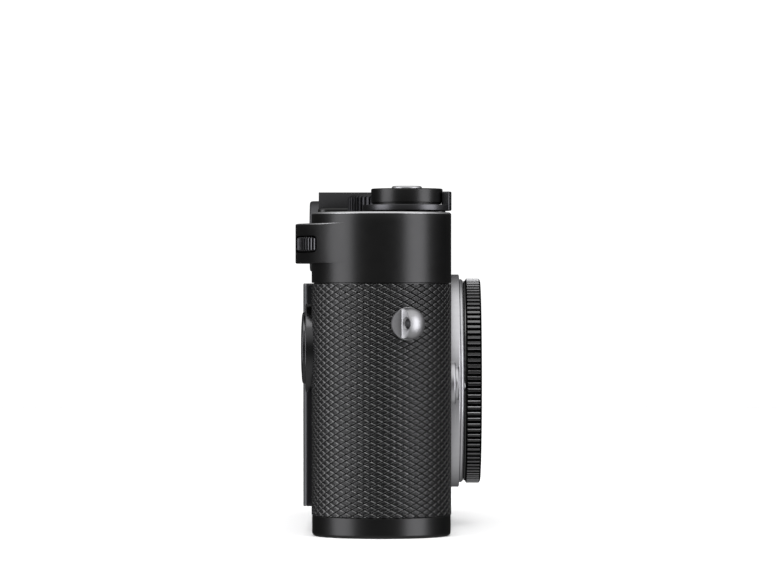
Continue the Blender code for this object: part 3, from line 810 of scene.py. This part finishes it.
def strap_lugs():
    """Domed stud on a disc, cut away behind, with a countersunk hole for the strap ring."""
    disc, foot, shoulder, top = 3.76, 0.62, 1.2, 3.86
    radius, far = 3.62, 6.0
    dome = [(radius * math.cos(angle), shoulder + (top - shoulder) * math.sin(angle))
            for angle in [QUARTER * i / 20 for i in range(1, 20)]]
    profile = [(0.0, -0.6), (disc, -0.6), (disc, foot - 0.13), (disc - 0.13, foot),
               (radius, foot), (radius, shoulder), *dome, (0.0, top)]
    step = [(-far, -0.35), (-1.62, foot), (-1.50, foot + 0.18), (-0.7, 4.6), (-far, 4.6)]
    bore = [(0.0, -2.6), (1.68, -2.6), (1.68, -1.32), (1.2, -0.8), (1.2, 1.0), (0.8, 1.4),
            (0.8, 5.0), (0.0, 5.0)]
    lean = Matrix.Rotation(QUARTER + math.radians(12.0), 4, "Y")
    for label, side in (("right", -1), ("left", 1)):
        wedge = forward(prism(step, -far, far))
        hole = moved(transformed(turned(bore, 64), lean), z=2.2)
        lug = transformed(cut(turned(profile, 128), wedge, hole), lug_matrix(side))
        item = place("lug_" + label, lug, BLASTED, ["strap_lug_" + label], angle=25.0)
        ahead = lug_matrix(side).col[0].to_3d()
        refinish(item, [SATIN], lambda face: int(face.normal.dot(ahead) < -0.85))


# ---- lens mount

def mount_ring(profile, soft):
    """One ring of the lens mount, with the hole for the lock pin."""
    ring = turned(profile, 160, soft)
    return cut(ring, prism(circle(PIN_HOLE, 32, LOCK_PIN), 14.0, 20.0))


def lens_mount():
    """Wide collar, the flange that a lens seats on, and its four screws."""
    front = -MOUNT[0].y
    radius = MOUNT[1].x + 0.12
    bore, seat = 21.2, 15.4
    ring = mount_ring([(bore, seat), (radius, seat), (radius, front), (bore, front)], 0.22)
    place("mount_collar", forward(ring), SILVER, ["mount_ring"], LENS_AXIS)
    flange = span("bayonet_flange")
    outer, low, high = flange[1].x, -flange[1].y, -flange[0].y
    ring = mount_ring([(bore, low), (outer, low), (outer, high - 0.45), (outer - 0.45, high),
                       (bore, high)], 0.1)
    spots = circle(22.9, 8)[1::2]
    for spot in spots:
        ring = cut(ring, prism(circle(0.85, 24, spot), high - 0.3, high + 1.0))
    place("bayonet_face", forward(ring), SILVER, ["bayonet_flange"], LENS_AXIS)
    for i, spot in enumerate(spots):
        head = peg(0.78, high - 0.28, high - 0.03, 0.1, 32)
        head = cut(head, block((-1.0, -0.1, high - 0.14), (1.0, 0.1, high + 1.0)))
        place("mount_screw_" + str(i + 1), forward(moved(head, *spot)), POLISHED, (),
              LENS_AXIS)


def lens_release():
    """Guard ring, and the button with the link and pin that it draws back."""
    guard = span("release_guard")
    spot = middle("release_guard")
    outer = guard[1].x - spot.x
    inner, front, back = outer - 0.75, -guard[0].y, 15.4
    profile = [(inner, back), (outer, back), (outer, front - 0.3), (outer - 0.3, front),
               (inner, front)]
    place("release_collar", forward(turned(profile, 80, 0.06)), SILVER, ["release_guard"],
          across(spot))
    face, skirt, foot = front + 0.8, 16.4, 12.4
    profile = [(0.0, face - 0.25), (2.2, face - 0.2), (3.65, face), (4.0, face - 0.32),
               (4.0, skirt), (1.5, skirt), (1.5, foot), (0.0, foot)]
    button = turned(profile, 80, 0.07, (1,))
    reach = LOCK_PIN[0] - spot.x
    link = block((-1.6, -1.5, 12.2), (reach + 1.0, 0.8, 13.2))
    pin = moved(peg(1.0, 12.7, 19.95, 0.25, 40), reach, LOCK_PIN[1])
    place("release_button", forward(fuse(button, link, pin)), SILVER, ["lens_release"],
          across(spot))


def cap():
    """Body cap: neck, toothed rim and a dished face with a raised ring."""
    box = span("body_cap")
    radius, front = box[1].x, -box[0].y
    neck, back, neck_end = 24.1, 19.75, 19.98
    teeth, land = 108, 0.48

    def even(size):
        return toothed_ring(size, 0.0, teeth, land)
    full = toothed_ring(radius, 0.75, teeth, land, 0.11)
    dish, face = front - 0.35, front - 0.12
    levels = [(even(neck - 0.05), back), (even(neck), back + 0.05), (even(neck), neck_end),
              (full, neck_end + 0.44), (full, front - 0.42), (even(radius - 0.35), face),
              (even(radius - 0.75), front), (even(21.6), front), (even(21.3), dish),
              (even(19.4), dish), (even(19.1), face), (even(6.0), face), (even(0.01), face)]
    inner = 18.2
    claw = peg(19.7, 16.6, 20.4, steps=128, inner=inner)
    body = cut(fuse(stack(levels), claw), prism(circle(PIN_HOLE, 32, LOCK_PIN), 19.0, 20.5),
               prism(circle(inner + 0.2, 96), 16.0, front - 1.7))
    item = place("mount_cap", forward(body), CAP_PLASTIC, ["body_cap"], LENS_AXIS,
                 angle=28.0)

    # Tooth bevels get the painted highlight; the gaps between the teeth and the slope behind them
    # get the painted shade.
    def cap_highlight_and_shade(face):
        spot = face.center * 1000 - Vector((0.0, MID_Y, LENS_Z))
        out = Vector(across(spot))
        behind = neck_end + 0.02 < -spot.y < neck_end + 0.4
        if behind or (22.5 < out.length < radius - 0.15 and -spot.y > neck_end):
            return 2
        return int(out.length > radius - 0.13 and face.normal.dot(out.normalized()) < 0.9)
    refinish(item, [CAP_HIGHLIGHT, PAINTED_SHADE], cap_highlight_and_shade)


def frame_lever():
    """Flat lever with a round hub at its pivot and a smaller round tip below."""
    spot = (33.5, 0.0, 48.5)
    tip = 15.0
    hub = arc(3.2, math.radians(-20), math.radians(200), 32)
    end = arc(1.9, math.radians(200), math.radians(340), 20, (0.0, -tip))
    lever = bevelled(prism(hub + end, 16.25, 17.9), 0.3, 4)
    lever = fuse(lever, prism(circle(1.3, 32), 12.6, 17.0))
    place("lever", forward(lever), ANODISED, ["frame_lever"], spot)


# ---- top controls

def release_controls():
    """Tower, the power-switch ring with its grip, and the shutter button in the middle."""
    tower = [(1.3, 74.35), (7.0, 74.35), (7.0, 76.2), (8.0, 76.2), (8.0, 76.42), (8.25, 76.6),
             (8.25, 79.75), (3.75, 79.75), (3.75, 76.8), (1.3, 76.8)]
    shape = turned(tower, 128, 0.36, (2, 3, 4, 5))
    place("tower", shape, BLACK_PAINT, ["release_tower"], upright(TOWER))
    ring = peg(10.2, 74.65, 76.0, 0.12, 144, inner=7.3)
    half = math.radians(20.0)
    sector = arc(10.3, -QUARTER - half, -QUARTER + half, 24)
    sector += arc(8.5, -QUARTER + half, -QUARTER - half, 24)
    nub = bevelled(prism(sector, 74.7, 79.05), 0.45, 5)
    for turn in (-8.0, 0.0, 8.0):
        groove = block((-0.22, -10.6, 76.2), (0.22, -10.0, 79.5))
        nub = cut(nub, transformed(groove, Matrix.Rotation(math.radians(turn), 4, "Z")))
    place("power_ring", fuse(ring, nub), DARK_METAL, ["power_switch"],
          upright(TOWER))
    button = [(0.0, 79.2), (0.9, 79.2), (0.9, 80.12), (2.4, 80.2), (3.15, 80.4), (3.5, 80.1),
              (3.5, 78.4), (1.0, 78.4), (1.0, 71.0), (0.0, 71.0)]
    place("release_button_top", turned(button, 96, 0.25), SATIN, ["shutter_button"],
          upright(TOWER))


def lettering(name, words, radius, height, body, size, centre):
    """Words set round a circle on a dial, thin and flush with its top."""
    joined = bmesh.new()
    for i, word in enumerate(words):
        curve = bpy.data.curves.new("word", "FONT")
        curve.body = word
        curve.size = size
        curve.align_x = "CENTER"
        curve.align_y = "CENTER"
        curve.extrude = 0.015
        curve.resolution_u = 3
        item = linked("word", curve)
        graph = bpy.context.evaluated_depsgraph_get()
        mesh = bpy.data.meshes.new_from_object(item.evaluated_get(graph))
        angle = -QUARTER + TAU * i / len(words)
        matrix = Matrix.Rotation(angle, 4, "Z") @ Matrix.Translation((radius, 0.0, height))
        mesh.transform(matrix @ Matrix.Rotation(-QUARTER, 4, "Z"))
        joined.from_mesh(mesh)
        bpy.data.meshes.remove(mesh)
        bpy.data.objects.remove(item)
        bpy.data.curves.remove(curve)
    place(name, joined, LETTERING, centre=centre, body=body)


def dial_crown(rim, wide, narrow, top, steps):
    """Shallow cone on top of a dial, from its rim's height up."""
    bottom = rim - 0.4
    profile = [(0.0, bottom), (wide, bottom), (wide, rim), (narrow, top), (0.0, top)]
    return turned(profile, steps, 0.15)


def dials():
    """Speed dial, sensitivity dial and thumb wheel, with generic numbers."""
    top, rim = span("speed_dial")[1].z, 78.4
    body = toothed_wheel(10.3, 74.5, rim, 0.42, 52, 0.3)
    line = peg(6.3, top - 0.08, top + 1, inner=6.1)
    crown = cut(dial_crown(rim, 9.85, 9.4, top, 120), line)
    shaft = prism(circle(1.9, 48), 68.0, 75.0)
    place("speed_dial_wheel", fuse(body, crown, shaft), ANODISED, ["speed_dial"],
          upright(DIAL))
    speeds = ["A", "B", "8", "4", "2", "1", "2", "4", "8", "15", "30", "60", "125", "250", "500",
              "1000", "2000", "4000"]
    lettering("speed_numbers", speeds, 7.8, top + 0.012, "speed_dial", 1.45, upright(DIAL))

    top, rim = span("iso_dial")[1].z, 79.6
    wheel = fuse(toothed_wheel(8.2, 76.4, rim, 0.3, 50, 0.22), dial_crown(rim, 7.95, 7.6, top, 96))
    hollow = [(0.0, 76.0), (4.4, 76.0), (4.4, 77.6), (2.2, 77.6), (2.2, 79.3), (0.0, 79.3)]
    place("iso_dial_wheel", cut(wheel, turned(hollow, 48)), ANODISED, ["iso_dial"],
          upright(ISO))
    values = ["A", "M", "64", "125", "200", "400", "800", "1600", "3200", "6400"]
    lettering("iso_numbers", values, 6.0, top + 0.012, "iso_dial", 1.4, upright(ISO))

    box = span("thumb_wheel")
    wheel = toothed_wheel(7.9, box[0].z, box[1].z, 0.55, 58, 0.3, inner=1.4, land=0.46)
    place("thumb_wheel_rim", wheel, DARK_METAL, ["thumb_wheel"], upright(WHEEL))


SHOE_PIN = (0.0, 6.0)
SHOE_SCREWS = ((-3.4, 2.2), (3.4, 2.2), (-3.4, 9.6), (3.4, 9.6))


def accessory_shoe():
    """Shoe with sharp lips, its centre contact and four screws."""
    half, inside, lip = 10.6, 9.4, 6.3
    floor, slot_top, top = 76.35, 78.7, 79.8
    section = [(-half, 75.45), (half, 75.45), (half, top), (lip, top), (lip, slot_top),
               (inside, slot_top), (inside, floor), (-inside, floor), (-inside, slot_top),
               (-lip, slot_top), (-lip, top), (-half, top)]
    shoe = forward(prism(section, -15.1, 4.0))
    shoe = fuse(shoe, block((-9.9, -3.9, 75.9), (9.9, -2.6, 79.2)))
    shoe = cut(shoe, prism(circle(1.6, 48, SHOE_PIN), 75.0, 77.0))
    for spot in SHOE_SCREWS:
        shoe = cut(shoe, prism(circle(0.95, 24, spot), 76.0, 77.0))
    place("shoe", bevelled(shoe, 0.1, 2, 40.0), MATT_PAINT, ["accessory_shoe"])
    contact = turned([(0.0, 75.6), (1.4, 75.6), (1.4, 76.3), (0.0, 76.34)], 48, 0.1)
    place("shoe_pin", contact, GOLD, ["shoe_contact"], (*SHOE_PIN, 0.0))
    for i, spot in enumerate(SHOE_SCREWS):
        screw = peg(0.85, 76.05, 76.3, 0.08, 24)
        screw = cut(screw, block((-1.0, -0.1, 76.2), (1.0, 0.1, 77.0)))
        place("shoe_screw_" + str(i + 1), screw, STEEL, (), (*spot, 0.0))


def windows():
    """The two front windows, the light sensor's pane, and the eyepiece."""
    for node, label, corner in WINDOWS:
        spot = middle(node)
        low, high = span(node)
        half = half_size(node)
        pane = soft_block(half.x, half.z, -high.y, -low.y, corner, 0.12)
        place(label, forward(pane), WINDOW, [node], across(spot))
    spot = middle("light_sensor_glass")
    pane = peg(2.05, 14.9, 15.7, 0.15, 64)
    place("light_sensor", forward(pane), WINDOW, ["light_sensor_glass"], across(spot))
    spot = middle("eyepiece_ring")
    ring = [(6.2, 12.0), (9.1, 12.0), (8.95, 17.9), (8.6, 18.3), (7.3, 18.3), (6.9, 17.5),
            (6.2, 17.3)]
    place("eyepiece_rim", backward(turned(ring, 128, 0.3, (0, 1))), DARK_METAL,
          ["eyepiece_ring"], across(spot))
    lens = [(0.0, 14.6), (6.0, 14.6), (6.0, 16.0), (4.0, 16.25), (2.0, 16.37), (0.0, 16.4)]
    place("eyepiece_glass", backward(turned(lens, 64)), WINDOW, ["eyepiece_lens"],
          across(spot))


# ---- rear

def rear_panel():
    """Display glass, its frame, and the three buttons beside it."""
    low, high = span("display_glass")
    half = half_size("display_glass")
    rim = 0.25
    glass = soft_block(half.x, half.z, low.y, high.y, 1.0, rim)
    item = place("screen_glass", backward(glass), SCREEN, ["display_glass"],
                 across(middle("display_glass")), angle=28.0)

    # The glass's straight sides get the ground-glass edge with its painted highlight; its rounded
    # rim gets the painted shade.
    def glass_edge_and_shade(face):
        if abs(face.normal.y) >= 0.9:
            return 0
        return 1 if face.center.y * 1000 - MID_Y < high.y - rim else 2
    refinish(item, [GLASS_EDGE_AND_HIGHLIGHT, PAINTED_SHADE], glass_edge_and_shade)
    low, high = span("display_frame")
    half = half_size("display_frame")
    panel = soft_block(half.x, half.z, low.y, high.y, 1.0, 0.15)
    panel = moved(backward(panel), *across(middle("display_frame")))
    panel = cut(panel, block((-31.0, 14.0, 9.0), (30.0, 20.0, 54.0)))
    for label in ("top", "middle", "bottom"):
        node = "rear_button_" + label
        spot = across(middle(node))
        hole = prism(rounded_rectangle(4.3, 2.9, 1.2), 14.0, 20.0)
        panel = cut(panel, moved(backward(hole), *spot))
        button = soft_block(4.0, 2.6, span(node)[0].y, span(node)[1].y, 1.0, 0.3)
        place("key_" + label, backward(button), BUTTON_PLASTIC, [node], spot)
    place("screen_frame", panel, ANODISED, ["display_frame"])


def direction_pad():
    """Bezel, the rocker with four dots, and the button in its middle."""
    centre = across(middle("dpad_bezel"))
    bezel = [(0.0, 15.1), (10.25, 15.1), (10.25, 17.55), (8.55, 17.55), (8.55, 15.9), (0.0, 15.9)]
    place("pad_bezel", backward(turned(bezel, 112, 0.35)), GUNMETAL, ["dpad_bezel"],
          centre)
    rocker = [(3.4, 16.8), (8.25, 16.8), (8.25, 18.15), (7.7, 18.35), (5.2, 18.52), (3.4, 18.55)]
    shape = backward(turned(rocker, 112, 0.25))
    for turn in range(4):
        dot = prism(circle(0.3, 24, (6.6, 0.0)), 18.2, 19.5)
        dot = transformed(dot, Matrix.Rotation(QUARTER * turn, 4, "Z"))
        shape = cut(shape, backward(dot))
    place("pad_rocker", shape, GUNMETAL, ["dpad_rocker"], centre)
    button = [(0.0, 16.95), (3.1, 16.95), (3.1, 18.55), (0.0, 18.6)]
    place("pad_button", backward(turned(button, 80, 0.3)), BUTTON_PLASTIC,
          ["dpad_button"], centre)


def base_lock():
    """Lock disc with its folding bail, and the tripod bush."""
    spot = middle("lock_knob")
    knob = [(0.0, 0.2), (7.0, 0.2), (7.0, 3.4), (3.0, 3.4), (3.0, 7.6), (0.0, 7.6)]
    pocket = [(-1.0, -6.2)] + arc(6.3, -QUARTER + 0.05, QUARTER - 0.05, 40) + [(-1.0, 6.2)]
    knob = cut(turned(knob, 112, 0.25), prism(pocket, -1.0, 1.9))
    knob = fuse(knob, block((-5.2, -1.4, 6.5), (5.2, 1.4, 7.4)))
    place("lock_disc", knob, ANODISED, ["lock_knob"], upright(spot))
    outline = [(-0.5, -5.9)] + arc(5.9, -QUARTER, QUARTER, 48) + [(-0.5, 5.9), (-0.5, 4.6)]
    outline += arc(4.6, QUARTER, -QUARTER, 48) + [(-0.5, -4.6)]
    key = bevelled(prism(outline, 0.45, 1.45), 0.22, 3)
    place("lock_bail", key, POLISHED, ["lock_key"], upright(spot))
    socket = [(0.0, 8.5), (3.2, 8.5), (3.2, 0.35), (3.55, 0.0), (7.0, 0.0), (7.0, 1.6), (5.0, 1.6),
              (5.0, 9.5), (0.0, 9.5)]
    spot = middle("tripod_socket")
    place("tripod_bush", turned(socket, 96, 0.1), STEEL, ["tripod_socket"],
          upright(spot))


# ---- carried-over pieces

CARRIED = (
    (CAST, ["body_casting"]),
    (MATT_PAINT, ["throat_baffle", "shutter_box"]),
    (STEEL, ["base_hook", "sensor_plate", "shutter_motor", "rangefinder_arm", "iso_spindle",
             "thumb_wheel_axle", "dpad_pivot"]),
    (BLADE, ["shutter_blade_1", "shutter_blade_2", "shutter_blade_3"]),
    (SENSOR, ["image_sensor"]),
    (BOARD, ["main_board"]),
    (CAP_PLASTIC, ["battery"]),
    (BUTTON_PLASTIC, ["memory_card"]),
    (WINDOW, ["viewfinder_block", "rangefinder_prism"]),
    (GOLD, ["rangefinder_roller"]),
    (SCREEN, ["display_screen"]),
)


def finish_carried():
    for material, nodes in CARRIED:
        for node in nodes:
            mesh = frame["nodes"][node].data
            mesh.materials.clear()
            mesh.materials.append(material)


# ---- stage

FLOOR_GREY = 0.8
FLOOR_GLOW = 0.05
SKY = 0.95                                # what reflections see overhead
GROUND = 0.38                             # below
NEAR_SIDE = 0.13                          # level, behind the camera
FAR_SIDE = 0.03                           # level, beyond the object
BACKDROP = 1.1                            # what the camera sees behind the object
CENTRE = (-0.07, 0.0, 0.05)               # what the lamps aim at, near the end of the body
STRIP_DISTANCE = 1.3
STRIP_COLOUR = (0.99, 0.985, 1.02)
EYE = (-1.0695, 0.0003, 0.05605)
FOCAL_LENGTH = 204.8


def studio():
    """White floor, seen only by the camera, so that it doesn't light the object."""
    floor = bmesh.new()
    bmesh.ops.create_circle(floor, cap_ends=True, segments=96, radius=1.1)
    item = as_object(floor, "floor")
    for use in ("diffuse", "glossy", "shadow", "transmission"):
        setattr(item, "visible_" + use, False)
    white = Nodes("floor_white", grey(FLOOR_GREY), 0.9, Specular_IOR_Level=0.0,
                  Emission_Color=(1.0, 1.0, 1.0, 1.0), Emission_Strength=FLOOR_GLOW)
    item.data.materials.append(white.material)
    floor_only = linked_group("floor_only", ["floor"])
    shadow_lamp("floor_lamp_wide", 1.6, 2.35, floor_only, ["base_cover"])
    shadow_lamp("floor_lamp_small", 0.5, 5.6, floor_only, ["base_cover", "leather", "top_cover"])


def linked_group(name, members):
    """Collection that a lamp's light linking names."""
    group = bpy.data.collections.new(name)
    for member in members:
        group.objects.link(bpy.data.objects[member])
    return group


def softbox(receivers):
    """Broad lamp overhead that only shows in the glossy black surfaces."""
    lamp = aim_lamp("softbox", (CENTRE[0] - 0.3, 0.0, 1.3), 0.8, 0.8, 2.4)
    lamp.light_linking.receiver_collection = linked_group("glossy_black", receivers)


def shadow_lamp(name, size, radiance, receivers, casters):
    """Overhead lamp that lights only the floor and throws the shadows of a few pieces."""
    lamp = aim_lamp(name, (CENTRE[0], 0.0, 1.6), size, size, radiance)
    lamp.light_linking.receiver_collection = receivers
    lamp.light_linking.blocker_collection = linked_group(name + "_casters", casters)


def surroundings():
    """White to the camera; to reflections, grey that changes with direction."""
    world = bpy.data.worlds.new("studio")
    bpy.context.scene.world = world
    world.use_nodes = True
    tree = world.node_tree

    def ramp(source, start, end, low, high):
        node = add_node(tree, "ShaderNodeMapRange", interpolation_type="SMOOTHSTEP",
                        From_Min=start, From_Max=end, To_Min=low, To_Max=high)
        tree.links.new(source, node.inputs["Value"])
        return node.outputs["Result"]

    def joined(operation, first, second):
        node = add_node(tree, "ShaderNodeMath", operation=operation)
        tree.links.new(first, node.inputs[0])
        tree.links.new(second, node.inputs[1])
        return node.outputs[0]

    axes = add_node(tree, "ShaderNodeSeparateXYZ")
    tree.links.new(add_node(tree, "ShaderNodeTexCoord").outputs["Generated"], axes.inputs[0])
    level = ramp(axes.outputs["X"], -0.3, 0.6, NEAR_SIDE, FAR_SIDE)
    above = ramp(axes.outputs["Z"], 0.05, 0.78, 0.0, SKY)
    below = ramp(axes.outputs["Z"], -0.1, -0.85, 0.0, GROUND)
    above = joined("MULTIPLY", above, ramp(axes.outputs["X"], 0.15, 0.85, 1.0, 0.12))
    below = joined("MULTIPLY", below, ramp(axes.outputs["X"], 0.1, 0.9, 1.0, 0.35))
    seen = joined("ADD", level, joined("ADD", above, below))
    mix = add_node(tree, "ShaderNodeMix")
    mix.inputs[3].default_value = BACKDROP
    camera_ray = add_node(tree, "ShaderNodeLightPath").outputs["Is Camera Ray"]
    tree.links.new(camera_ray, mix.inputs[0])
    tree.links.new(seen, mix.inputs[2])
    tree.links.new(mix.outputs[0], tree.nodes["Background"].inputs["Strength"])
    tree.nodes["Background"].inputs["Color"].default_value = (1.0, 1.0, 1.0, 1.0)


def strip(name, bearing, width, tall, radiance):
    """Tall soft box at a bearing from the camera side, aimed at the object."""
    angle = math.radians(bearing)
    spot = (CENTRE[0] - STRIP_DISTANCE * math.cos(angle), STRIP_DISTANCE * math.sin(angle),
            CENTRE[2])
    aim_lamp(name, spot, width, tall, radiance, STRIP_COLOUR)


def aim_lamp(name, spot, width, tall, radiance, colour=(1.0, 1.0, 1.0)):
    """Rectangular lamp at a spot, turned to the object; its power follows from its radiance."""
    light = bpy.data.lights.new(name, "AREA")
    light.shape = "RECTANGLE"
    light.size = width
    light.size_y = tall
    light.energy = radiance * math.pi * width * tall
    light.color = colour
    item = linked(name, light)
    item.location = spot
    direction = Vector(CENTRE) - Vector(spot)
    item.rotation_euler = direction.to_track_quat("-Z", "Y").to_euler()
    return item


def camera():
    """Level view along the body's length, at the end with the shutter button."""
    data = bpy.data.cameras.new("camera")
    data.sensor_width = 36.0
    data.lens = FOCAL_LENGTH
    item = linked("camera", data)
    item.location = EYE
    item.rotation_euler = (QUARTER, 0.0, -QUARTER)
    bpy.context.scene.camera = item


top_cover()
base_cover()
covering()
strap_lugs()
lens_mount()
lens_release()
cap()
frame_lever()
release_controls()
dials()
accessory_shoe()
windows()
rear_panel()
direction_pad()
base_lock()
finish_carried()
studio()
surroundings()
softbox(["leather", "mount_cap", "pad_rocker", "pad_bezel"])
strip("strip_rear", 69.0, 0.90, 1.5, 3.0)
strip("strip_front", -60.0, 0.88, 1.5, 3.5)
camera()
bpy.context.scene.view_settings.view_transform = "Standard"
